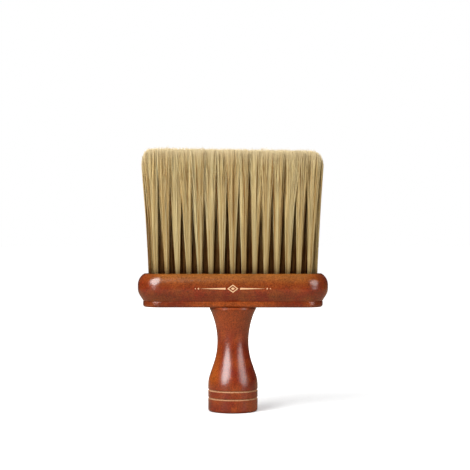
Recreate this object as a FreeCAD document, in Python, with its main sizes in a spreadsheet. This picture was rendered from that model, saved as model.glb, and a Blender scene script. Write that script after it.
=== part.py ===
import FreeCAD, Part

import math
import os

import Sketcher

# Neck duster brush, standing upright on the flat end of its handle.
# Millimetres. Origin: centre of the handle's end face. +Z up towards the bristles, X along the
# wide head, -Y the front. The handle carries the back board, the board carries the drilled tuft
# block, and each row of tufts is held in the block by one wire that the board covers.

DRIVING_DIMENSIONS = {
    # turned handle
    "handle_length": 69.6,
    "handle_end_radius": 16.5,
    "handle_end_rounding": 1.5,
    "belly_radius": 16.6,
    "belly_height": 17.0,
    "belly_curve": 24.0,
    "waist_radius": 10.5,
    "waist_height": 46.3,
    "waist_lower_curve": 45.0,
    "waist_upper_curve": 50.9,
    "waist_flank_angle": 20.8,
    "collar_radius": 15.5,
    "collar_thickness": 1.9,
    "collar_rounding": 0.6,
    "lower_ring_height": 9.1,
    "upper_ring_height": 14.4,
    "ring_width": 1.4,
    "ring_depth": 0.8,
    # head, with half-round ends: back board below, tuft block above
    "head_width": 127.2,
    "head_depth": 33.2,
    "board_thickness": 4.0,
    "board_inset": 3.5,
    "board_lower_rounding": 1.6,
    "board_upper_rounding": 0.5,
    "block_height": 18.3,
    "block_bulge_curve": 8.7,
    "block_shoulder_rise": 7.5,
    "block_taper_angle": 33.0,
    "block_foot_inset": 3.75,
    "recess_width": 112.8,
    "recess_breadth": 20.0,
    "recess_corner_radius": 6.0,
    "recess_depth": 1.0,
    # tufts and their stepped holes
    "tuft_pitch": 7.28,
    "row_spacing": 4.2,
    "row_tilt_step": 1.25,
    "end_tuft_lean": 2.07,
    "tuft_radius": 1.45,
    "tuft_hole_depth": 12.0,
    "tuft_flare_radius": 2.65,
    "tuft_flare_height": 25.0,
    "tuft_tip_radius": 3.1,
    "tuft_tip_rounding": 1.2,
    "bristle_length": 81.1,
    "hole_clearance": 0.05,
    # wire that draws a row of tufts into its holes
    "wire_radius": 0.25,
    "wire_loop_half_width": 0.7,
    "wire_loop_rise": 1.4,
    "wire_bend_radius": 0.6,
    "wire_end_length": 1.6,
    "wire_hole_radius": 1.15,
    "wire_clearance": 0.05,
    # countersunk wood screws from the back board into the handle
    "screw_offset": 7.0,
    "screw_length": 22.0,
    "screw_head_radius": 3.4,
    "screw_head_height": 2.0,
    "screw_shank_radius": 1.75,
    "screw_tip_length": 4.0,
    "screw_tip_radius": 0.3,
    "screw_slot_width": 0.9,
    "screw_slot_depth": 0.8,
    "screw_clearance": 0.05,
}

# The rows from front to back. Every second row holds one tuft more and is half a pitch across.
ROWS = {"front": 15, "2": 16, "middle": 15, "4": 16, "back": 15}
LONG_ROW = 16

HEAD_RADIUS = "(sizes.head_depth / 2)"
STRAIGHT_LENGTH = "(sizes.head_width - sizes.head_depth)"
BLOCK_FOOT = "(sizes.handle_length + sizes.board_thickness)"
BLOCK_TOP = f"({BLOCK_FOOT} + sizes.block_height)"

X_AXIS = FreeCAD.Vector(1, 0, 0)
Y_AXIS = FreeCAD.Vector(0, 1, 0)
NOWHERE = FreeCAD.Vector(0, 0, 0)

document = FreeCAD.newDocument("neck_duster_brush")
sizes = document.addObject("Spreadsheet::Sheet", "sizes")


def fill_sheet():
    for row, (alias, value) in enumerate(DRIVING_DIMENSIONS.items(), start=1):
        sizes.set(f"A{row}", alias.replace("_", " "))
        sizes.set(f"B{row}", str(value))
        sizes.setAlias(f"B{row}", alias)
    document.recompute()


def bind(obj, expressions):
    """Tie properties of an object to expressions in the sheet."""
    for name, expression in expressions.items():
        obj.setExpression(name, expression)


# ---- sketches ----


def add_sketch(body, plane_role, name):
    """A sketch on one of the body's own origin planes."""
    sketch = body.newObject("Sketcher::SketchObject", name)
    plane = next(item for item in body.Origin.OriginFeatures if item.Role == plane_role)
    sketch.AttachmentSupport = [(plane, "")]
    sketch.MapMode = "FlatFace"
    return sketch


def arc_between(start, end, radius):
    """A short arc that bulges to the left of the way from start to end, or right if negative."""
    chord = end - start
    to_left = FreeCAD.Vector(-chord.y, chord.x, 0).normalize()
    sagitta = abs(radius) - math.sqrt(radius**2 - (chord.Length / 2) ** 2)
    top = (start + end) / 2 + to_left * math.copysign(sagitta, radius)
    return Part.Arc(start, top, end)


def end_of_side(sketch, side, point):
    """1 or 2: the end of a side's line or arc that lies on the point."""
    return 1 if sketch.getPoint(side, 1).distanceToPoint(point) < 1e-6 else 2


def pin_coordinate(sketch, side, side_end, direction, value, expression):
    """Hold one coordinate of a corner at its distance from the sketch's origin."""
    if value < 0:
        distance = Sketcher.Constraint(direction, side, side_end, -1, 1, -value)
        expression = f"-({expression})"
    else:
        distance = Sketcher.Constraint(direction, -1, 1, side, side_end, value)
    number = sketch.addConstraint(distance)
    sketch.setExpression(f"Constraints[{number}]", expression)


def draw_outline(sketch, corners, curves):
    """Draw a closed outline with every corner and every radius tied to the sheet.

    corners holds (across, up) pairs of expressions, anticlockwise. curves gives the radius of each
    curved side, under the number of the corner where the side starts: ("in", radius) bulges into
    the outline and ("out", radius) bulges out of it.
    """
    points = [
        FreeCAD.Vector(*(float(sketch.evalExpression(text)) for text in corner), 0)
        for corner in corners
    ]
    for side, start in enumerate(points):
        end = points[(side + 1) % len(points)]
        if side in curves:
            bulge, radius = curves[side]
            signed_radius = float(sketch.evalExpression(radius)) * (1 if bulge == "in" else -1)
            sketch.addGeometry(arc_between(start, end, signed_radius), False)
        else:
            sketch.addGeometry(Part.LineSegment(start, end), False)

    starts = [end_of_side(sketch, side, point) for side, point in enumerate(points)]
    for side, start in enumerate(starts):
        other_end = 3 - start
        following = (side + 1) % len(points)
        joined = Sketcher.Constraint("Coincident", side, other_end, following, starts[following])
        sketch.addConstraint(joined)
    for side, (across, up) in enumerate(corners):
        pin_coordinate(sketch, side, starts[side], "DistanceX", points[side].x, across)
        pin_coordinate(sketch, side, starts[side], "DistanceY", points[side].y, up)
    for side, (_, radius) in curves.items():
        value = float(sketch.evalExpression(radius))
        number = sketch.addConstraint(Sketcher.Constraint("Radius", side, value))
        sketch.setExpression(f"Constraints[{number}]", radius)


# ---- features ----


def add_body(name):
    body = document.addObject("PartDesign::Body", name)
    body.Label = name
    return body


def add_feature(body, kind, name, sketch):
    feature = body.newObject(f"PartDesign::{kind}", name)
    feature.Profile = sketch
    return feature


def turn(body, name, sketch, kind="Revolution"):
    """A full turn of a sketch about its own vertical axis, added or, as a Groove, cut away."""
    feature = add_feature(body, kind, name, sketch)
    feature.ReferenceAxis = (sketch, ["V_Axis"])
    feature.Angle = 360
    document.recompute()
    return feature


def extrude(body, kind, name, sketch, length):
    """A Pad or Pocket of a sketch, half of its length to each side."""
    feature = add_feature(body, kind, name, sketch)
    feature.Midplane = True
    bind(feature, {"Length": length})
    document.recompute()
    return feature


def mirror(body, original, plane_role):
    """Repeat a feature on the other side of one of the body's own origin planes."""
    mirrored = body.newObject("PartDesign::Mirrored", f"{original.Name}_mirrored")
    plane = next(item for item in body.Origin.OriginFeatures if item.Role == plane_role)
    mirrored.Originals = [original]
    mirrored.MirrorPlane = (plane, [""])
    body.Tip = mirrored
    document.recompute()


def add_long_plate(body, corners, curves):
    """A plate with a straight middle and half-round ends, its edge moulded the same all round.

    The outline runs from the plate's centre line out to its edge. Extruded and mirrored it makes
    the middle; turned about the last point of the centre line it makes an end.
    """
    half_section = add_sketch(body, "YZ_Plane", "half_section")
    draw_outline(half_section, corners, curves)
    middle = extrude(body, "Pad", "middle", half_section, STRAIGHT_LENGTH)
    mirror(body, middle, "XZ_Plane")
    end_section = add_sketch(body, "XZ_Plane", "end_section")
    bind(end_section, {"AttachmentOffset.Base.x": f"{STRAIGHT_LENGTH} / 2"})
    draw_outline(end_section, corners, curves)
    mirror(body, turn(body, "round_end", end_section), "YZ_Plane")


def cut_away(name, blank, tool):
    """The named piece: a blank less the holes in it."""
    piece = document.addObject("Part::Cut", name)
    piece.Label = name
    piece.Base = blank
    piece.Tool = tool
    return piece


def gather(name, members):
    """One object that holds several separate solids."""
    group = document.addObject("Part::Compound", name)
    group.Label = name
    group.Links = members
    return group


# ---- handle and back board ----


def make_handle_blank():
    """Turned handle: end, belly, waist and collar in one outline, then two V-grooves."""
    body = add_body("handle_blank")
    slope = "sizes.waist_flank_angle * 1deg"
    collar_foot = "(sizes.handle_length - sizes.collar_thickness)"
    flare_rise = f"({collar_foot} - sizes.waist_height)"
    corners = [
        ("0", "0"),
        ("sizes.handle_end_radius - sizes.handle_end_rounding", "0"),
        ("sizes.handle_end_radius", "sizes.handle_end_rounding"),
        ("sizes.belly_radius", "sizes.belly_height"),
        (
            f"sizes.belly_radius - sizes.belly_curve * (1 - cos({slope}))",
            f"sizes.belly_height + sizes.belly_curve * sin({slope})",
        ),
        (
            f"sizes.waist_radius + sizes.waist_lower_curve * (1 - cos({slope}))",
            f"sizes.waist_height - sizes.waist_lower_curve * sin({slope})",
        ),
        ("sizes.waist_radius", "sizes.waist_height"),
        (
            "sizes.waist_radius + sizes.waist_upper_curve"
            f" - sqrt(sizes.waist_upper_curve ^ 2 - {flare_rise} ^ 2)",
            collar_foot,
        ),
        ("sizes.collar_radius", f"{collar_foot} + sizes.collar_rounding"),
        ("sizes.collar_radius", "sizes.handle_length"),
        ("0", "sizes.handle_length"),
    ]
    curves = {
        1: ("out", "sizes.handle_end_rounding"),
        3: ("out", "sizes.belly_curve"),
        5: ("in", "sizes.waist_lower_curve"),
        6: ("in", "sizes.waist_upper_curve"),
        7: ("out", "sizes.collar_rounding"),
    }
    profile = add_sketch(body, "XZ_Plane", "handle_outline")
    draw_outline(profile, corners, curves)
    turn(body, "turned_handle", profile)
    for ring in ("lower_ring", "upper_ring"):
        cut_ring(body, ring)
    return body


def cut_ring(body, ring):
    """A V-groove round the belly. Its outline starts a millimetre outside the wood."""
    height = f"sizes.{ring}_height"
    flank = "sizes.ring_width / 2 * (sizes.ring_depth + 1) / sizes.ring_depth"
    corners = [
        ("sizes.belly_radius - sizes.ring_depth", height),
        ("sizes.belly_radius + 1", f"{height} - {flank}"),
        ("sizes.belly_radius + 1", f"{height} + {flank}"),
    ]
    profile = add_sketch(body, "XZ_Plane", f"{ring}_outline")
    draw_outline(profile, corners, {})
    turn(body, ring, profile, "Groove")


def make_board_blank():
    """Moulded back board, rounded more along its lower edge than its upper."""
    body = add_body("board_blank")
    edge = f"({HEAD_RADIUS} - sizes.board_inset)"
    corners = [
        ("0", "sizes.handle_length"),
        (f"{edge} - sizes.board_lower_rounding", "sizes.handle_length"),
        (edge, "sizes.handle_length + sizes.board_lower_rounding"),
        (edge, f"{BLOCK_FOOT} - sizes.board_upper_rounding"),
        (f"{edge} - sizes.board_upper_rounding", BLOCK_FOOT),
        ("0", BLOCK_FOOT),
    ]
    curves = {
        1: ("out", "sizes.board_lower_rounding"),
        3: ("out", "sizes.board_upper_rounding"),
    }
    add_long_plate(body, corners, curves)
    return body


def screw_outline(clearance):
    """Corners of a countersunk screw from its tip up, all its radii larger by the clearance."""
    head_foot = f"{BLOCK_FOOT} - sizes.screw_head_height"
    tip = f"{BLOCK_FOOT} - sizes.screw_length"
    shank = f"sizes.screw_shank_radius + {clearance}"
    return [
        ("0", f"{tip} - {clearance}"),
        (f"sizes.screw_tip_radius + {clearance}", f"{tip} - {clearance}"),
        (shank, f"{tip} + sizes.screw_tip_length"),
        (shank, head_foot),
        (f"sizes.screw_head_radius + {clearance}", BLOCK_FOOT),
        ("0", BLOCK_FOOT),
    ]


def make_screw_pattern(name, clearance):
    body = add_body(name)
    profile = add_sketch(body, "XZ_Plane", f"{name}_outline")
    draw_outline(profile, screw_outline(clearance), {})
    turn(body, "turned_screw", profile)
    return body


def cut_screw_slot(body):
    """The driver's slot across the head. Its outline reaches a millimetre above the head."""
    half_width = "sizes.screw_slot_width / 2"
    floor = f"{BLOCK_FOOT} - sizes.screw_slot_depth"
    corners = [
        (f"-{half_width}", floor),
        (half_width, floor),
        (half_width, f"{BLOCK_FOOT} + 1"),
        (f"-{half_width}", f"{BLOCK_FOOT} + 1"),
    ]
    profile = add_sketch(body, "XZ_Plane", "slot_outline")
    draw_outline(profile, corners, {})
    extrude(body, "Pocket", "slot", profile, "2 * sizes.screw_head_radius + 1")


def place_screws(name, pattern):
    """Two copies of a pattern, one each side of the handle's axis."""
    copies = []
    for side, sign in (("left", "-"), ("right", "")):
        copy = document.addObject("App::Link", f"{name}_{side}")
        copy.LinkedObject = pattern
        bind(copy, {"Placement.Base.x": f"{sign}sizes.screw_offset"})
        copies.append(copy)
    return gather(name, copies)


def make_handle_and_board():
    screw = make_screw_pattern("screw_pattern", "0")
    cut_screw_slot(screw)
    screws = place_screws("handle_screws", screw)
    hole = make_screw_pattern("screw_hole_pattern", "sizes.screw_clearance")
    screw_holes = place_screws("screw_holes", hole)
    handle = cut_away("handle", make_handle_blank(), screw_holes)
    back_board = cut_away("back_board", make_board_blank(), screw_holes)
    return [handle, back_board, screws]


# ---- tufts, their wires and the block that holds them ----


def make_tuft_pattern():
    """One bundle: a stem that fills its hole, flaring above the block, slotted for its wire."""
    body = add_body("tuft_pattern")
    corners = [
        ("0", "-sizes.tuft_hole_depth"),
        ("sizes.tuft_radius", "-sizes.tuft_hole_depth"),
        ("sizes.tuft_radius", "0"),
        ("sizes.tuft_flare_radius", "sizes.tuft_flare_height"),
        ("sizes.tuft_tip_radius", "sizes.bristle_length - sizes.tuft_tip_rounding"),
        ("sizes.tuft_tip_radius - sizes.tuft_tip_rounding", "sizes.bristle_length"),
        ("0", "sizes.bristle_length"),
    ]
    profile = add_sketch(body, "XZ_Plane", "tuft_outline")
    draw_outline(profile, corners, {4: ("out", "sizes.tuft_tip_rounding")})
    turn(body, "bundle", profile)

    half_width = "(sizes.wire_loop_half_width + sizes.wire_radius + sizes.wire_clearance)"
    foot = "-sizes.tuft_hole_depth - 1"
    roof = "-sizes.tuft_hole_depth + sizes.wire_loop_rise + sizes.wire_radius + sizes.wire_clearance"
    slot_corners = [
        (f"-{half_width}", foot),
        (half_width, foot),
        (half_width, roof),
        (f"-{half_width}", roof),
    ]
    slot = add_sketch(body, "XZ_Plane", "wire_slot_outline")
    draw_outline(slot, slot_corners, {})
    extrude(body, "Pocket", "wire_slot", slot, "2 * (sizes.wire_radius + sizes.wire_clearance)")
    return body


def make_hole_pattern():
    """The stepped hole of one tuft, a millimetre longer than the block at each end."""
    body = add_body("tuft_hole_pattern")
    radius = "sizes.tuft_radius + sizes.hole_clearance"
    corners = [
        ("0", "-sizes.block_height - 1"),
        ("sizes.wire_hole_radius", "-sizes.block_height - 1"),
        ("sizes.wire_hole_radius", "-sizes.tuft_hole_depth"),
        (radius, "-sizes.tuft_hole_depth"),
        (radius, "1"),
        ("0", "1"),
    ]
    profile = add_sketch(body, "XZ_Plane", "tuft_hole_outline")
    draw_outline(profile, corners, {})
    turn(body, "stepped_hole", profile)
    return body


def tuft_offsets(row):
    """Pitches from the row's middle to each of its tufts."""
    count = ROWS[row]
    return [number - (count - 1) / 2 for number in range(count)]


def lean_at(offset):
    """Sideways lean in degrees, as an expression: none in the middle and most at the ends."""
    return f"sizes.end_tuft_lean * {offset / ((LONG_ROW - 1) / 2)}"


def tilt_row(piece, row):
    """Put a row at its place across the block, tilted out towards the nearer long side."""
    from_middle = list(ROWS).index(row) - (len(ROWS) - 1) / 2
    piece.Placement = FreeCAD.Placement(NOWHERE, FreeCAD.Rotation(X_AXIS, 1))
    bind(
        piece,
        {
            "Placement.Base.y": f"sizes.row_spacing * {from_middle}",
            "Placement.Base.z": BLOCK_TOP,
            "Placement.Rotation.Angle": f"sizes.row_tilt_step * {-from_middle}",
        },
    )


def place_row(name, row, pattern):
    """A copy of the pattern at each tuft of one row."""
    copies = []
    for offset in tuft_offsets(row):
        copy = document.addObject("App::Link", f"{name}_member")
        copy.LinkedObject = pattern
        copy.Placement = FreeCAD.Placement(NOWHERE, FreeCAD.Rotation(Y_AXIS, 1))
        bind(
            copy,
            {
                "Placement.Base.x": f"sizes.tuft_pitch * {offset}",
                "Placement.Rotation.Angle": lean_at(offset),
            },
        )
        copies.append(copy)
    placed = gather(name, copies)
    tilt_row(placed, row)
    return placed


def wire_route(row):
    """Corners of a row's wire, in the plane of the row: up, over and down at every tuft."""
    run_height = sizes.recess_depth / 2 - sizes.block_height
    crown_height = sizes.wire_loop_rise - sizes.tuft_hole_depth
    half_width = sizes.wire_loop_half_width
    route = []
    for offset in tuft_offsets(row):
        lean = math.radians(float(sizes.evalExpression(lean_at(offset))))
        middle = sizes.tuft_pitch * offset
        for side, heights in ((-1, (run_height, crown_height)), (1, (crown_height, run_height))):
            for height in heights:
                across = middle + height * math.tan(lean) + side * half_width
                route.append(FreeCAD.Vector(across, 0, height))
    route.insert(0, route[0] - X_AXIS * sizes.wire_end_length)
    route.append(route[-1] + X_AXIS * sizes.wire_end_length)
    return route


def round_corners(route, radius):
    """A wire of straight runs joined by tangent arcs of one radius."""
    edges = []
    run_start = route[0]
    for before, corner, after in zip(route, route[1:], route[2:]):
        back = (before - corner).normalize()
        ahead = (after - corner).normalize()
        half_angle = back.getAngle(ahead) / 2
        arc_start = corner + back * (radius / math.tan(half_angle))
        arc_end = corner + ahead * (radius / math.tan(half_angle))
        bisector = (back + ahead).normalize()
        arc_middle = corner + bisector * (radius / math.sin(half_angle) - radius)
        edges.append(Part.makeLine(run_start, arc_start))
        edges.append(Part.Arc(arc_start, arc_middle, arc_end).toShape())
        run_start = arc_end
    edges.append(Part.makeLine(run_start, route[-1]))
    return Part.Wire(edges)


def make_wire(row):
    """The one wire of a row: its path has a bend for every tuft, so it is swept, not sketched."""
    path = round_corners(wire_route(row), sizes.wire_bend_radius)
    start = path.OrderedVertexes[0].Point
    section = Part.Wire(Part.makeCircle(sizes.wire_radius, start, X_AXIS))
    wire = document.addObject("Part::Feature", f"draw_wire_{row}")
    wire.Label = f"draw_wire_{row}"
    wire.Shape = path.makePipeShell([section], True, True)
    tilt_row(wire, row)
    return wire


def make_block_blank():
    """Bulged head: tapered foot, rounded widest part and shoulder, recessed below for the wires."""
    body = add_body("block_blank")
    taper = "sizes.block_taper_angle * 1deg"
    bulge_in = f"(sizes.block_bulge_curve * (1 - cos({taper})))"
    taper_top = f"({BLOCK_FOOT} + (sizes.block_foot_inset - {bulge_in}) / tan({taper}))"
    shoulder_in = (
        "(sizes.block_bulge_curve"
        " - sqrt(sizes.block_bulge_curve ^ 2 - sizes.block_shoulder_rise ^ 2))"
    )
    corners = [
        ("0", BLOCK_FOOT),
        (f"{HEAD_RADIUS} - sizes.block_foot_inset", BLOCK_FOOT),
        (f"{HEAD_RADIUS} - {bulge_in}", taper_top),
        (HEAD_RADIUS, f"{taper_top} + sizes.block_bulge_curve * sin({taper})"),
        (HEAD_RADIUS, f"{BLOCK_TOP} - sizes.block_shoulder_rise"),
        (f"{HEAD_RADIUS} - {shoulder_in}", BLOCK_TOP),
        ("0", BLOCK_TOP),
    ]
    curves = {
        2: ("out", "sizes.block_bulge_curve"),
        4: ("out", "sizes.block_bulge_curve"),
    }
    add_long_plate(body, corners, curves)
    cut_wire_recess(body)
    return body


def cut_wire_recess(body):
    """Shallow recess under the block, so that the board lies flat over the wires."""
    along = "(sizes.recess_width / 2)"
    across = "(sizes.recess_breadth / 2)"
    rounding = "sizes.recess_corner_radius"
    corners = [
        (f"-({along} - {rounding})", f"-{across}"),
        (f"{along} - {rounding}", f"-{across}"),
        (along, f"-({across} - {rounding})"),
        (along, f"{across} - {rounding}"),
        (f"{along} - {rounding}", across),
        (f"-({along} - {rounding})", across),
        (f"-{along}", f"{across} - {rounding}"),
        (f"-{along}", f"-({across} - {rounding})"),
    ]
    outline = add_sketch(body, "XY_Plane", "recess_outline")
    bind(outline, {"AttachmentOffset.Base.z": BLOCK_FOOT})
    draw_outline(outline, corners, {side: ("out", rounding) for side in (1, 3, 5, 7)})
    extrude(body, "Pocket", "wire_recess", outline, "2 * sizes.recess_depth")


def make_head():
    tuft_pattern = make_tuft_pattern()
    hole_pattern = make_hole_pattern()
    rows = [place_row(f"tuft_row_{row}", row, tuft_pattern) for row in ROWS]
    wires = [make_wire(row) for row in ROWS]
    holes = gather("tuft_holes", [place_row(f"holes_{row}", row, hole_pattern) for row in ROWS])
    block = cut_away("tuft_block", make_block_blank(), holes)
    return [block, *rows, *wires]


def check_and_write(pieces):
    """Stop at a failed object, or at a piece that is empty, broken or in too few solids."""
    document.recompute()
    for item in document.Objects:
        if {"Invalid", "Error"} & set(item.State):
            raise RuntimeError(f"{item.Name} failed: {item.State}")
    for piece in pieces:
        if piece.Shape.isNull() or not piece.Shape.isValid():
            raise RuntimeError(f"{piece.Label} has no valid shape")
        row = piece.Label.removeprefix("tuft_row_")
        expected = {"handle_screws": 2}.get(piece.Label, ROWS.get(row, 1))
        if len(piece.Shape.Solids) != expected:
            raise RuntimeError(f"{piece.Label} has {len(piece.Shape.Solids)} solids")
        print(f"{piece.Label}: {expected} solids, {piece.Shape.Volume:.1f} mm3")
        piece.Shape.exportStep(f"parts/{piece.Label}.step")


os.makedirs("parts", exist_ok=True)
fill_sheet()
check_and_write(make_handle_and_board() + make_head())
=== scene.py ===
import math

import bpy
import numpy as np
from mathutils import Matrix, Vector


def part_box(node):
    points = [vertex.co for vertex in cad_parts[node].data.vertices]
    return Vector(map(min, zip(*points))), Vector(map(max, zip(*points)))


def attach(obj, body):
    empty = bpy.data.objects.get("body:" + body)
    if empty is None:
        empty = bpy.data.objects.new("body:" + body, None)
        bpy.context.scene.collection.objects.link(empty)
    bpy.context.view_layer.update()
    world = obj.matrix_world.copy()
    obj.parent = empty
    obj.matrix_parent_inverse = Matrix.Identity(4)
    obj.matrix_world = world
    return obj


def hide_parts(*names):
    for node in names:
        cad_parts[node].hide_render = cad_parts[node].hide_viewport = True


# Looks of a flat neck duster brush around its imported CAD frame: lacquered wood for the handle, the
# back board and the block, and real fibres for each row of tufts. Metres throughout.

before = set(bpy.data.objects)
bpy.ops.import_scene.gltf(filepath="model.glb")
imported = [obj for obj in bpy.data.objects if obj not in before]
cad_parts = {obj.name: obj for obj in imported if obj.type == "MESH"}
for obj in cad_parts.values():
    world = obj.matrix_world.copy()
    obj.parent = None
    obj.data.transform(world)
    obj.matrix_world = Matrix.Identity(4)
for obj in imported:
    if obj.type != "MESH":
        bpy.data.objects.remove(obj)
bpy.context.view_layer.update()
rng = np.random.default_rng(315)

MM = 0.001
X_AXIS, Y_AXIS, Z_AXIS = range(3)
BLOCK_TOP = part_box("tuft_block")[1].z
HANDLE_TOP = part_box("handle")[1].z


# ---- node materials ----


def srgb(red, green, blue):
    """A colour as seen on screen, 0 to 255, in the linear values that a shader takes."""
    levels = [value / 255 for value in (red, green, blue)]
    linear = [
        level / 12.92 if level < 0.04045 else ((level + 0.055) / 1.055) ** 2.4 for level in levels
    ]
    return (*linear, 1.0)


def darker(colour, share):
    """A linear colour at a share of its brightness."""
    return (*(share * channel for channel in colour[:3]), 1.0)


class Shader:
    """A node material under construction. Each call adds a node and returns one of its outputs."""

    def __init__(self, name):
        self.material = bpy.data.materials.new(name)
        self.material.use_nodes = True
        self.tree = self.material.node_tree
        self.tree.nodes.clear()

    def add(self, kind, inputs=(), output=0, **settings):
        node = self.tree.nodes.new(f"ShaderNode{kind}")
        for name, value in settings.items():
            setattr(node, name, value)
        for name, value in dict(inputs).items():
            if isinstance(value, bpy.types.NodeSocket):
                self.tree.links.new(value, node.inputs[name])
            else:
                node.inputs[name].default_value = value
        return node.outputs[output]

    def maths(self, operation, first, second=0.0):
        return self.add("Math", {0: first, 1: second}, operation=operation)

    def distance(self, value, middle):
        """How far a value is from a middle, on either side."""
        return self.maths("ABSOLUTE", self.maths("SUBTRACT", value, middle))

    def mix(self, share, first, second, blend="MIX"):
        inputs = {0: share, 6: first, 7: second}
        return self.add("Mix", inputs, output=2, data_type="RGBA", blend_type=blend)

    def ramp(self, value, stops):
        """Colours or levels at places from 0 to 1."""
        output = self.add("ValToRGB", {0: value})
        elements = output.node.color_ramp.elements
        while len(elements) < len(stops):
            elements.new(0.5)
        for element, (place, colour) in zip(elements, stops):
            element.position = place
            element.color = colour if isinstance(colour, tuple) else (colour, colour, colour, 1)
        return output

    def change(self, value, start, end, before=0.0, after=1.0):
        """A smooth change from one level to another while a value goes from start to end."""
        span = {"From Min": start, "From Max": end, "To Min": before, "To Max": after}
        return self.add("MapRange", {"Value": value, **span}, interpolation_type="SMOOTHSTEP")

    def place(self, scale=(1, 1, 1)):
        """Place in the row frame, in metres, stretched by a scale on each axis."""
        return self.add("Mapping", {"Vector": self.add("TexCoord", output=3), "Scale": scale})

    def coordinates(self):
        """The three coordinates of a place in the row frame, in metres."""
        return self.add("SeparateXYZ", {"Vector": self.place()}).node.outputs

    def noise(self, vector, size, detail=3.0, roughness=0.5):
        """Noise whose features are about the given size in metres."""
        inputs = {"Vector": vector, "Scale": 1 / size, "Detail": detail, "Roughness": roughness}
        return self.add("TexNoise", inputs)

    def drift(self, size, reach):
        """A distance that wanders between 0 and its reach, in waves of about the given size."""
        return self.maths("MULTIPLY", self.noise(self.place(), size, detail=2), reach)

    def bump(self, height, depth):
        """Relief of the given depth in metres."""
        return self.add("Bump", {"Height": height, "Strength": 1.0, "Distance": depth})

    def finish(self, sockets):
        surface = self.add("BsdfPrincipled", sockets)
        end = self.tree.nodes.new("ShaderNodeOutputMaterial")
        self.tree.links.new(surface, end.inputs["Surface"])
        return self.material


# ---- lacquered wood ----

STAIN_RED = srgb(108, 31, 8)
STAIN_DEEP_RED = srgb(88, 20, 5)
# The next two colours are lighter stain in random patches, and painted light where a light mask lays
# them on.
STAIN_GOLD_OR_PAINTED_LIGHT = srgb(120, 68, 23)
STAIN_ORANGE_OR_PAINTED_LIGHT = srgb(142, 68, 20)
BARE_WOOD = srgb(180, 140, 108)
BARE_WOOD_DARK = srgb(152, 102, 68)
PRINT_CREAM = srgb(208, 172, 132)

CLOUD_SIZE = 14 * MM
FIGURE_SIZE = 1.6 * MM
FIGURE_STRETCH = 0.12
SPECKLE_SIZE = 0.8 * MM
THIN_PATCH_SIZE = 10 * MM
RIPPLE_SIZE = 1.8 * MM
LACQUER_RELIEF = 0.07 * MM


def lacquered_wood(
    name,
    grain_axis,
    stain=STAIN_RED,
    thin_stain_or_painted_light=STAIN_GOLD_OR_PAINTED_LIGHT,
    painted_light=None,
    bare=None,
    printed=None,
    coat_roughness=0.2,
):
    """Red-brown stain sprayed over fine-pored wood, under clear lacquer.

    Each of the three masks is a function of the shader that gives a share from 0 to 1 at
    each place: the first for painted light, laying the lighter stain colour where light falls,
    bare for where it is cut away, printed for a mark.
    """
    shader = Shader(name)
    along_grain = [1.0, 1.0, 1.0]
    along_grain[grain_axis] = FIGURE_STRETCH
    stretched = shader.place(tuple(along_grain))
    plain = shader.place()

    clouds = shader.noise(plain, CLOUD_SIZE, detail=2)
    figure = shader.noise(stretched, FIGURE_SIZE, detail=4)
    speckle = shader.noise(plain, SPECKLE_SIZE, detail=2, roughness=0.6)
    layers = (
        shader.ramp(clouds, [(0.3, 0.86), (0.7, 1.14)]),
        shader.ramp(figure, [(0.3, 0.92), (0.7, 1.08)]),
        shader.ramp(speckle, [(0.35, 0.64), (0.65, 1.36)]),
    )
    patches = shader.noise(plain, THIN_PATCH_SIZE, detail=2)
    thin_or_painted_light = shader.ramp(patches, [(0.4, 0.0), (0.7, 0.5)])
    # Painted light: the light mask lays the lighter colour on, over the random patches of lighter
    # stain.
    if painted_light:
        thin_or_painted_light = shader.maths("MAXIMUM", thin_or_painted_light, painted_light(shader))
    colour = shader.mix(thin_or_painted_light, stain, thin_stain_or_painted_light)
    for layer in layers:
        colour = shader.mix(1.0, colour, layer, "MULTIPLY")
    coat = 1.0
    if bare:
        cut = bare(shader)
        pores = shader.ramp(speckle, [(0.35, 0.0), (0.65, 1.0)])
        raw = shader.mix(pores, BARE_WOOD_DARK, BARE_WOOD)
        colour = shader.mix(cut, colour, raw)
        coat = shader.maths("SUBTRACT", 1.0, cut)
    if printed:
        colour = shader.mix(printed(shader), colour, PRINT_CREAM)

    ripple = shader.noise(plain, RIPPLE_SIZE, detail=2)
    normal = shader.bump(shader.maths("ADD", ripple, speckle), LACQUER_RELIEF)
    sockets = {
        "Base Color": colour,
        "Roughness": 0.5,
        "Specular IOR Level": 0.0,
        "Normal": normal,
        "Coat Normal": normal,
        "Coat Weight": coat,
        "Coat Roughness": coat_roughness,
        "Coat IOR": 1.62,
    }
    return shader.finish(sockets)


def painted_light_band(low, high, most, half_width=46 * MM):
    """A mask of painted light that grows from one height to another, and fades beyond a half width
    each way.
    """
    fade_width = 20 * MM
    level_at_ends = 0.2

    def mask(shader):
        place = shader.coordinates()
        drift = shader.drift(12 * MM, 4 * MM)
        height = shader.maths("ADD", place[Z_AXIS], drift)
        across = shader.maths("ADD", shader.maths("ABSOLUTE", place[X_AXIS]), drift)
        rise = shader.change(height, low, high, 0.0, most)
        fall = shader.change(across, half_width, half_width + fade_width, 1.0, level_at_ends)
        return shader.maths("MULTIPLY", rise, fall)

    return mask


def painted_light_belly(shader):
    """Painted light on the left of the handle's belly, as if lit from that side."""
    middle_height = 32 * MM
    full_within, none_beyond = 8 * MM, 20 * MM
    side_start, side_full = 7 * MM, 17 * MM
    place = shader.coordinates()
    to_left = shader.maths("SUBTRACT", shader.drift(9 * MM, 6 * MM), place[X_AXIS])
    side = shader.change(to_left, side_start, side_full)
    away = shader.distance(place[Z_AXIS], middle_height)
    height = shader.change(away, none_beyond, full_within)
    return shader.maths("MULTIPLY", side, height)


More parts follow.
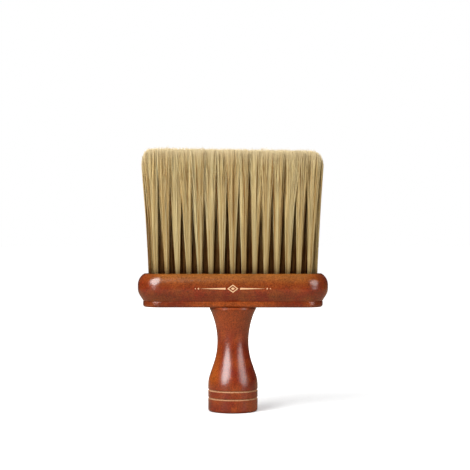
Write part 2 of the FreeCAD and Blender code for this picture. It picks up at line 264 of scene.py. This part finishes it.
def painted_light_handle(shader):
    """Painted light on the flare, as if lit from below, and on the left of the belly."""
    flare = painted_light_band(HANDLE_TOP - 22 * MM, HANDLE_TOP - 5 * MM, 0.45)
    return shader.maths("MAXIMUM", flare(shader), painted_light_belly(shader))


# The bare ring is narrower than its groove, and a little below the groove's middle, so that the
# groove's upper flank keeps the dark lacquer as painted shade.
GROOVE_HEIGHTS = (9.1 * MM, 14.4 * MM)
RING_HALF_WIDTH = 0.5 * MM
RING_DROP = 0.25 * MM


def ring_cuts(shader):
    """1 inside the two turned grooves, 0 on the lacquer."""
    height = shader.coordinates()[Z_AXIS]
    mask = 0.0
    for groove in GROOVE_HEIGHTS:
        away = shader.distance(height, groove - RING_DROP)
        mask = shader.maths("MAXIMUM", mask, shader.maths("LESS_THAN", away, RING_HALF_WIDTH))
    return mask


# The printed mark. All but its height are in millimetres, or shares of the lozenge's size.
MARK_HEIGHT = BLOCK_TOP - 9.6 * MM
LOZENGE_HALF_WIDTH = 3.6
LOZENGE_HALF_HEIGHT = 2.7
LOZENGE_BORDER = 0.86
LOZENGE_BORDER_HALF = 0.14
LOZENGE_CORE = 0.36
LINE_START = 4.8
LINE_END = 21.5
LINE_TAPER = 0.035
DOTS = ((22.6, 0.6), (24.6, 0.4))


def front_mark(shader):
    """A plain printed ornament on the front: a lozenge between two tapering lines and dots."""
    place = shader.coordinates()
    across = shader.maths("DIVIDE", shader.maths("ABSOLUTE", place[X_AXIS]), MM)
    above = shader.maths("DIVIDE", shader.distance(place[Z_AXIS], MARK_HEIGHT), MM)

    share_across = shader.maths("DIVIDE", across, LOZENGE_HALF_WIDTH)
    share_above = shader.maths("DIVIDE", above, LOZENGE_HALF_HEIGHT)
    reach = shader.maths("ADD", share_across, share_above)
    from_border = shader.distance(reach, LOZENGE_BORDER)
    border = shader.maths("LESS_THAN", from_border, LOZENGE_BORDER_HALF)
    core = shader.maths("LESS_THAN", reach, LOZENGE_CORE)

    taper = shader.maths("MULTIPLY", shader.maths("SUBTRACT", LINE_END, across), LINE_TAPER)
    beside = shader.maths("GREATER_THAN", across, LINE_START)
    line = shader.maths("MULTIPLY", shader.maths("LESS_THAN", above, taper), beside)

    mask = shader.maths("MAXIMUM", shader.maths("MAXIMUM", border, core), line)
    for dot_place, radius in DOTS:
        away = shader.maths("ADD", shader.distance(across, dot_place), above)
        mask = shader.maths("MAXIMUM", mask, shader.maths("LESS_THAN", away, radius))
    return shader.maths("MULTIPLY", mask, shader.maths("LESS_THAN", place[Y_AXIS], 0.0))


# ---- hidden metal ----


DRAW_MARK_SIZE = 0.15 * MM
DRAW_MARK_STRETCH = 0.1


def metal(name, colour, roughness):
    """Bare metal with fine marks drawn out along X."""
    shader = Shader(name)
    drawn = shader.noise(shader.place((DRAW_MARK_STRETCH, 1, 1)), DRAW_MARK_SIZE)
    marks = shader.ramp(drawn, [(0.3, roughness * 0.8), (0.7, roughness * 1.2)])
    tint = shader.mix(drawn, colour, darker(colour, 0.8))
    return shader.finish({"Base Color": tint, "Metallic": 1.0, "Roughness": marks})


# ---- fibres ----

ROW_NODES = ["tuft_row_front", "tuft_row_2", "tuft_row_middle", "tuft_row_4", "tuft_row_back"]
OUTER_ROWS = (ROW_NODES[0], ROW_NODES[-1])
LONG_ROW = 16

FIBRES_PER_TUFT = 390
BUNDLES_PER_TUFT = 64
FIBRE_LEVELS = 6
LEVEL_BUNCHING = 1.25
FIBRE_SIDES = 3
FIBRE_RADIUS = 0.13 * MM
ROOT_DEPTH = 1 * MM

# A tuft fans out from its root radius by its flare. Its fibres gather in bundles, and it turns
# square to fill the room between its neighbours, but stays narrower in depth.
OUTER_ROOT_RADIUS = 1.45 * MM
INNER_ROOT_RADIUS = 2.5 * MM
TUFT_FLARE = 3.0 * MM
FLARE_VARIATION = 0.15
BUNDLE_REACH = 0.85
GATHER = 0.35
SQUARENESS = 0.8
DEPTH_NARROWING = 0.4

# How far a tip strays from straight on average, by the bend of its tuft, its bundle and itself.
TUFT_BEND = 0.7 * MM
BUNDLE_BEND = 0.8 * MM
FIBRE_BEND = 1.0 * MM
BEND_CURVE = 2.2
SWAY = 0.2 * MM
SWAY_TURN = 7.0
STRAY_SHARE = 0.05
STRAY_LENGTH = 1.6 * MM

# The sides of the brush spread from the root to the tips, where a trim cuts it to length.
EDGE_AT_ROOT = 55.9 * MM
EDGE_SPREAD = 4.0 * MM
RIGHT_SPREAD_SHARE = 0.88
EDGE_CURVE = 1.3
EDGE_FIRMNESS = 0.8
TRIM_SLOPE = 0.013
LEFT_CORNER = 7.5 * MM
RIGHT_CORNER = 9.0 * MM
CORNER_DEPTH = 0.65
CORNER_ROUNDNESS = 0.98
EDGE_DROP = 4.0
CUT_LIFT = 0.2 * MM
CUT_ROUGHNESS = 0.5 * MM

FIBRE_DARK = srgb(122, 80, 38)
FIBRE_TAN = srgb(174, 140, 84)
FIBRE_BEIGE = srgb(204, 182, 128)
FIBRE_PALE = srgb(217, 204, 158)
FIBRE_TIP = srgb(197, 180, 144)
OUTER_ROOT_SHADE = (0.7, 0.68, 0.64, 1)
INNER_ROOT_SHADE = (0.24, 0.14, 0.075, 1)
TONE_COLUMN = 1 / 64


def smoothstep(low, high, value):
    share = np.clip((value - low) / (high - low), 0, 1)
    return share * share * (3 - 2 * share)


def read_row(node):
    """Where each tuft of a CAD row stands: its root and tip centres on its own axis."""
    close = 0.5 * MM
    gap = 2 * MM
    corners = np.array([vertex.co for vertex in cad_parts[node].data.vertices])
    tip_height = corners[:, 2].max()
    at_root = corners[np.abs(corners[:, 2] - BLOCK_TOP) < close]
    at_tip = corners[corners[:, 2] > tip_height - close]
    across = np.sort(at_root[:, 0])
    groups = np.split(across, np.flatnonzero(np.diff(across) > gap) + 1)
    root_x = np.array([(group[0] + group[-1]) / 2 for group in groups])
    root_y = (at_root[:, 1].min() + at_root[:, 1].max()) / 2
    tip_y = (at_tip[:, 1].min() + at_tip[:, 1].max()) / 2
    tip_radius = (at_tip[:, 1].max() - at_tip[:, 1].min()) / 2
    spread = (at_tip[:, 0].max() - tip_radius) / root_x[-1]
    roots = np.array([(x, root_y, BLOCK_TOP) for x in root_x])
    tips = np.array([(x * spread, tip_y, tip_height) for x in root_x])
    return roots, tips


def disc(count):
    """Points spread over a unit disc, one jittered turn of the golden angle apart."""
    number = np.arange(count) + 0.5
    radius = np.sqrt(number / count)
    angle = number * math.pi * (3 - math.sqrt(5)) + rng.normal(0, 0.25, count)
    return np.stack([radius * np.cos(angle), radius * np.sin(angle)], axis=1)


def fan_out(home, bundle_centres, root_radius, share):
    """How far each straight fibre is from its tuft's axis, at each share of its length."""
    flare = root_radius + TUFT_FLARE * rng.normal(1, FLARE_VARIATION) * share
    gather = GATHER * smoothstep(0.1, 0.9, share)
    squared = SQUARENESS * smoothstep(0.4, 1.0, share)
    narrowing = np.stack([np.ones(FIBRE_LEVELS), 1 - DEPTH_NARROWING * share], axis=1)
    corner_reach = np.linalg.norm(home, axis=1) / np.abs(home).max(axis=1) - 1
    pulled = home[:, None] + (bundle_centres - home)[:, None] * gather[None, :, None]
    pulled *= 1 + (corner_reach[:, None] * squared[None])[..., None]
    return pulled * flare[None, :, None] * narrowing[None]


def bend_fibres(nearest, share):
    """How far each fibre bends from its straight line, and which of them are strays."""
    tuft_bend = rng.normal(0, TUFT_BEND, 2)
    bundle_bend = rng.normal(0, BUNDLE_BEND, (BUNDLES_PER_TUFT, 2))[nearest]
    fibre_bend = rng.normal(0, FIBRE_BEND, (FIBRES_PER_TUFT, 2))
    stray = rng.random(FIBRES_PER_TUFT) < STRAY_SHARE
    bend = (tuft_bend + bundle_bend + fibre_bend) * np.where(stray, 2, 1)[:, None]
    sway = rng.normal(0, SWAY, (FIBRES_PER_TUFT, 2))
    phase = rng.uniform(0, 2 * math.pi, FIBRES_PER_TUFT)[:, None]
    wave = (np.sin(share[None] * SWAY_TURN + phase) - np.sin(phase)) * share[None]
    bent = bend[:, None] * (share**BEND_CURVE)[None, :, None]
    bent += sway[:, None] * wave[..., None]
    return bent, stray


def trim_height(across, edge, tip_height):
    """Where the trimming cut passes: a little lower to the right, and rounder there."""
    corner = np.where(across > 0, RIGHT_CORNER, LEFT_CORNER)
    inset = edge - np.abs(across)
    past = np.clip(1 - inset / corner, 0, 1)
    rounding = CORNER_DEPTH * corner * (1 - np.sqrt(1 - CORNER_ROUNDNESS * past**2))
    rounding += EDGE_DROP * np.clip(-inset, 0, None)
    return tip_height - TRIM_SLOPE * across - rounding


def fibre_tones(nearest):
    """The tone of each fibre, from 0, dark, to 1, pale. A few bundles are much darker."""
    bundle_tone = rng.normal(0.68, 0.17, BUNDLES_PER_TUFT)
    bundle_tone -= 0.45 * (rng.random(BUNDLES_PER_TUFT) < 0.15)
    tone = bundle_tone[nearest] + rng.normal(0, 0.22, FIBRES_PER_TUFT)
    return np.clip(tone, 0.02, 0.98)


def tuft_fibres(root, tip, root_radius):
    """Centre lines of one tuft's fibres, and the tone of each."""
    home = disc(FIBRES_PER_TUFT)
    bundles = disc(BUNDLES_PER_TUFT) * BUNDLE_REACH
    nearest = np.argmin(np.linalg.norm(home[:, None] - bundles[None], axis=2), axis=1)
    share = np.linspace(0, 1, FIBRE_LEVELS) ** LEVEL_BUNCHING

    axis = root + (tip - root) * share[:, None]
    straight = fan_out(home, bundles[nearest], root_radius, share)
    bent, stray = bend_fibres(nearest, share)
    lines = np.empty((FIBRES_PER_TUFT, FIBRE_LEVELS, 3))
    lines[:, :, :2] = axis[None, :, :2] + straight + bent

    spread = EDGE_SPREAD * (RIGHT_SPREAD_SHARE if root[0] > 0 else 1)
    edge = EDGE_AT_ROOT + spread * share**EDGE_CURVE
    past = np.clip(np.abs(lines[:, :, 0]) - edge[None], 0, None)
    lines[:, :, 0] -= np.sign(lines[:, :, 0]) * past * EDGE_FIRMNESS

    cut = trim_height(lines[:, -1, 0], edge[-1], tip[2])
    cut += rng.normal(CUT_LIFT, CUT_ROUGHNESS, BUNDLES_PER_TUFT)[nearest]
    cut += rng.normal(0, CUT_ROUGHNESS, FIBRES_PER_TUFT)
    cut += stray * rng.uniform(0, STRAY_LENGTH, FIBRES_PER_TUFT)
    start = BLOCK_TOP - ROOT_DEPTH
    lines[:, :, 2] = start + (cut - start)[:, None] * share[None]
    return lines, fibre_tones(nearest)


def fibre_uv(tones, levels):
    """The UV map of a fibre mesh, corner by corner: tone across, length along."""
    half_column = TONE_COLUMN / 2
    along = np.linspace(0, 1, levels)
    level_ends = np.stack([along[:-1], along[:-1], along[1:], along[1:]], axis=1)
    sides = np.empty((len(tones), levels - 1, FIBRE_SIDES, 4, 2))
    sides[..., 0] = tones[:, None, None, None] + np.array([-1, 1, 1, -1]) * half_column
    sides[..., 1] = level_ends[None, :, None]
    caps = np.empty((2, len(tones), FIBRE_SIDES, 2))
    caps[..., 0] = tones[:, None] + np.array([-1, 1, 0]) * half_column
    caps[0, ..., 1] = [0, 0, 0.01]
    caps[1, ..., 1] = [1, 1, 0.99]
    return np.concatenate([sides.ravel(), caps.ravel()])


def fibre_mesh(name, lines, tones, inner):
    """One mesh of closed three-sided fibres, in its second material where they are inner."""
    count, levels, _ = lines.shape
    taper = np.interp(np.linspace(0, 1, levels), [0, 0.75, 1], [1.0, 0.95, 0.5])
    angles = np.arange(FIBRE_SIDES) * 2 * math.pi / FIBRE_SIDES
    turn = rng.uniform(0, 2 * math.pi, (count, 1, 1)) + angles[None, None]
    reach = FIBRE_RADIUS * taper[None, :, None]
    vertices = np.repeat(lines[:, :, None], FIBRE_SIDES, axis=2)
    vertices[..., 0] += np.cos(turn) * reach
    vertices[..., 1] += np.sin(turn) * reach

    fibre = np.arange(count)[:, None, None] * levels * FIBRE_SIDES
    level = np.arange(levels - 1)[None, :, None] * FIBRE_SIDES
    side = np.arange(FIBRE_SIDES)[None, None]
    following = (side + 1) % FIBRE_SIDES
    low, high = fibre + level, fibre + level + FIBRE_SIDES
    quads = np.stack([low + side, low + following, high + following, high + side], axis=-1)
    root_caps = fibre[:, 0] + side[0, :, ::-1]
    tip_caps = fibre[:, 0] + side[0] + (levels - 1) * FIBRE_SIDES

    mesh = bpy.data.meshes.new(name)
    faces = quads.reshape(-1, 4).tolist() + root_caps.tolist() + tip_caps.tolist()
    mesh.from_pydata(vertices.reshape(-1, 3), [], faces)
    layer = mesh.uv_layers.new(name="OFBake")
    layer.data.foreach_set("uv", fibre_uv(tones, levels))
    slots = inner.astype(np.int32)
    slots = np.concatenate([np.repeat(slots, (levels - 1) * FIBRE_SIDES), slots, slots])
    mesh.polygons.foreach_set("material_index", slots)
    mesh.polygons.foreach_set("use_smooth", np.arange(len(slots)) < quads.size // 4)
    return mesh


def fibre_material(name, root_shade, shade_start, shade_end):
    """Light brown fibre: tone across the UV map, shaded at the root and greyer at the tip."""
    shader = Shader(name)
    uv = shader.add("TexCoord", output=2)
    tone, along = shader.add("SeparateXYZ", {"Vector": uv}).node.outputs[:2]
    stretched = shader.add("Mapping", {"Vector": uv, "Scale": (60, 5, 1)})
    mottle = shader.add("TexNoise", {"Vector": stretched, "Scale": 1.0, "Detail": 2.0})
    variation = shader.maths("MULTIPLY", shader.maths("SUBTRACT", mottle, 0.5), 0.35)
    tone_colours = [(0.05, FIBRE_DARK), (0.3, FIBRE_TAN), (0.6, FIBRE_BEIGE), (1.0, FIBRE_PALE)]
    colour = shader.ramp(shader.maths("ADD", tone, variation), tone_colours)
    shades = [
        (0.0, darker(root_shade, 0.6)),
        (0.08, root_shade),
        (shade_start, root_shade),
        (shade_end, 1.0),
        (0.88, 0.93),
    ]
    colour = shader.mix(1.0, colour, shader.ramp(along, shades), "MULTIPLY")
    tip = shader.ramp(along, [(0.9, 0.0), (0.95, 0.3), (1.0, 0.85)])
    colour = shader.mix(tip, colour, FIBRE_TIP)
    return shader.finish({"Base Color": colour, "Roughness": 0.7, "Specular IOR Level": 0.1})


def sheltered_tufts(node, count):
    """Which tufts of a row are hidden by others: none in an outer row, nor a long row's ends."""
    sheltered = np.full(count, node not in OUTER_ROWS)
    if count == LONG_ROW:
        sheltered[[0, -1]] = False
    return sheltered


def make_fibres():
    outer = fibre_material("fibre_outer", OUTER_ROOT_SHADE, shade_start=0.22, shade_end=0.72)
    inner = fibre_material("fibre_inner", INNER_ROOT_SHADE, shade_start=0.27, shade_end=0.8)
    for node in ROW_NODES:
        roots, tips = read_row(node)
        root_radius = OUTER_ROOT_RADIUS if node in OUTER_ROWS else INNER_ROOT_RADIUS
        grown = [tuft_fibres(root, tip, root_radius) for root, tip in zip(roots, tips)]
        lines = np.concatenate([part for part, _ in grown])
        tones = np.concatenate([tone for _, tone in grown])
        inside = np.repeat(sheltered_tufts(node, len(roots)), FIBRES_PER_TUFT)
        name = node.replace("tuft_row", "fibres")
        piece = bpy.data.objects.new(name, fibre_mesh(name, lines, tones, inside))
        bpy.context.scene.collection.objects.link(piece)
        piece.data.materials.append(outer)
        piece.data.materials.append(inner)
        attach(piece, "root")
        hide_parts(node)


# ---- stage ----

# Each softbox: its azimuth in degrees from the front, then its height, width, tallness and power.
SOFTBOXES = (
    ("softbox_left", -40, 0.58, 0.7, 1.1, 18),
    ("softbox_right", 54, 0.36, 0.56, 0.7, 4.2),
)
SOFTBOX_DISTANCE = 0.85
MIDDLE = (0, 0, 0.09)
WHITE = (1, 1, 1, 1)
WORLD_LIGHT = 0.05

FLOOR_HALF_WIDTH = 12.0
FLOOR_DROP = 0.02 * MM
FLOOR_BOUNCE = (0.36, 0.26, 0.18, 1)
FLOOR_GLOW_NEAR = 0.2
FLOOR_GLOW_REACH = 2.0


def area_light(name, place, width, height, power, shape="RECTANGLE"):
    """A light that faces the brush and that the camera doesn't see."""
    data = bpy.data.lights.new(name, "AREA")
    data.shape = shape
    data.size = width
    data.size_y = height
    data.energy = power
    lamp = bpy.data.objects.new(name, data)
    lamp.location = place
    lamp.rotation_euler = (Vector(MIDDLE) - Vector(place)).to_track_quat("-Z", "Y").to_euler()
    lamp.visible_camera = False
    bpy.context.scene.collection.objects.link(lamp)
    return lamp


def set_lights():
    for name, azimuth, height, width, tallness, power in SOFTBOXES:
        turn = math.radians(azimuth)
        place = (SOFTBOX_DISTANCE * math.sin(turn), -SOFTBOX_DISTANCE * math.cos(turn), height)
        area_light(name, place, width, tallness, power, "ELLIPSE")
    for lamp in (
        area_light("overhead", (0, -0.15, 1.1), 0.9, 0.6, 5),
        area_light("back_fill", (0.35, 1.0, 0.5), 1.0, 0.8, 8),
    ):
        lamp.visible_glossy = False


def set_world():
    """White where the camera sees it, and a dim light on everything else."""
    world = bpy.data.worlds.new("studio")
    world.use_nodes = True
    tree = world.node_tree
    tree.nodes.clear()
    seen = tree.nodes.new("ShaderNodeLightPath")
    level = tree.nodes.new("ShaderNodeMapRange")
    level.inputs["To Min"].default_value = WORLD_LIGHT
    level.inputs["To Max"].default_value = 1.0
    sky = tree.nodes.new("ShaderNodeBackground")
    sky.inputs["Color"].default_value = WHITE
    out = tree.nodes.new("ShaderNodeOutputWorld")
    tree.links.new(seen.outputs["Is Camera Ray"], level.inputs["Value"])
    tree.links.new(level.outputs["Result"], sky.inputs["Strength"])
    tree.links.new(sky.outputs["Background"], out.inputs["Surface"])
    bpy.context.scene.world = world


def set_floor():
    """A pale floor that fades into the white world, and bounces a warm light on the brush."""
    shader = Shader("pale_floor")
    seen = shader.add("LightPath")
    from_middle = shader.add("VectorMath", {0: shader.place()}, output=1, operation="LENGTH")
    reach = shader.maths("DIVIDE", from_middle, FLOOR_GLOW_REACH)
    far = shader.ramp(reach, [(0.05, 0.0), (0.35, 1.0)])
    added = shader.maths("MULTIPLY", far, 1 - FLOOR_GLOW_NEAR)
    glow = shader.maths("ADD", added, FLOOR_GLOW_NEAR)
    grain = shader.noise(shader.place(), 4 * MM)
    tone = shader.ramp(grain, [(0.4, 0.78), (0.6, 0.82)])
    sockets = {
        "Base Color": shader.mix(seen, FLOOR_BOUNCE, tone),
        "Roughness": 0.9,
        "Specular IOR Level": 0.0,
        "Emission Color": WHITE,
        "Emission Strength": shader.maths("MULTIPLY", glow, seen),
    }
    material = shader.finish(sockets)
    mesh = bpy.data.meshes.new("floor")
    corners = [
        (x * FLOOR_HALF_WIDTH, y * FLOOR_HALF_WIDTH, 0)
        for x, y in ((-1, -1), (1, -1), (1, 1), (-1, 1))
    ]
    mesh.from_pydata(corners, [], [(0, 1, 2, 3)])
    mesh.materials.append(material)
    floor = bpy.data.objects.new("floor", mesh)
    floor.location.z = -FLOOR_DROP
    bpy.context.scene.collection.objects.link(floor)


def set_camera():
    """A long lens that looks level at the brush, for a picture in plain colours."""
    lens = bpy.data.cameras.new("camera")
    lens.lens = 104
    lens.sensor_width = 36
    lens.clip_end = 30
    camera = bpy.data.objects.new("camera", lens)
    camera.location = (1.4 * MM, -0.909, 117.6 * MM)
    camera.rotation_euler = (math.radians(90), 0, 0)
    bpy.context.scene.collection.objects.link(camera)
    bpy.context.scene.camera = camera
    bpy.context.scene.view_settings.view_transform = "Standard"


# ---- the whole brush ----


def paint(node, material):
    """Give a whole CAD node one finish."""
    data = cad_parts[node].data
    data.materials.clear()
    data.materials.append(material)


def soften(node, degrees):
    """Smooth shading that keeps the edges sharper than the given angle."""
    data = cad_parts[node].data
    data.shade_smooth()
    data.set_sharp_from_angle(angle=math.radians(degrees))


def paint_wood():
    # The handle: painted light on its flare and on the left of its belly, and bare wood in its
    # grooves.
    handle_wood = lacquered_wood(
        "handle_wood",
        Z_AXIS,
        thin_stain_or_painted_light=STAIN_ORANGE_OR_PAINTED_LIGHT,
        painted_light=painted_light_handle,
        bare=ring_cuts,
        coat_roughness=0.24,
    )
    # The board: deep red, with a painted highlight that turns the middle of its lip orange.
    board_wood = lacquered_wood(
        "board_wood",
        X_AXIS,
        stain=STAIN_DEEP_RED,
        thin_stain_or_painted_light=STAIN_ORANGE_OR_PAINTED_LIGHT,
        painted_light=painted_light_band(0.0, HANDLE_TOP, 0.65, half_width=20 * MM),
    )
    # The block: painted light makes its upper edge lighter, most along its middle, for light falling
    # from above.
    block_wood = lacquered_wood(
        "block_wood",
        X_AXIS,
        painted_light=painted_light_band(BLOCK_TOP - 11 * MM, BLOCK_TOP + 1.5 * MM, 1.0),
        printed=front_mark,
    )
    paint("handle", handle_wood)
    paint("back_board", board_wood)
    paint("tuft_block", block_wood)
    soften("handle", 25)
    soften("back_board", 35)
    soften("tuft_block", 25)


def paint_metal():
    brass = metal("drawn_brass", (0.72, 0.52, 0.24, 1), 0.35)
    for node in ROW_NODES:
        paint(node.replace("tuft_row", "draw_wire"), brass)
    paint("handle_screws", metal("plated_steel", (0.62, 0.62, 0.63, 1), 0.3))


set_camera()
set_world()
set_floor()
set_lights()
paint_wood()
paint_metal()
make_fibres()
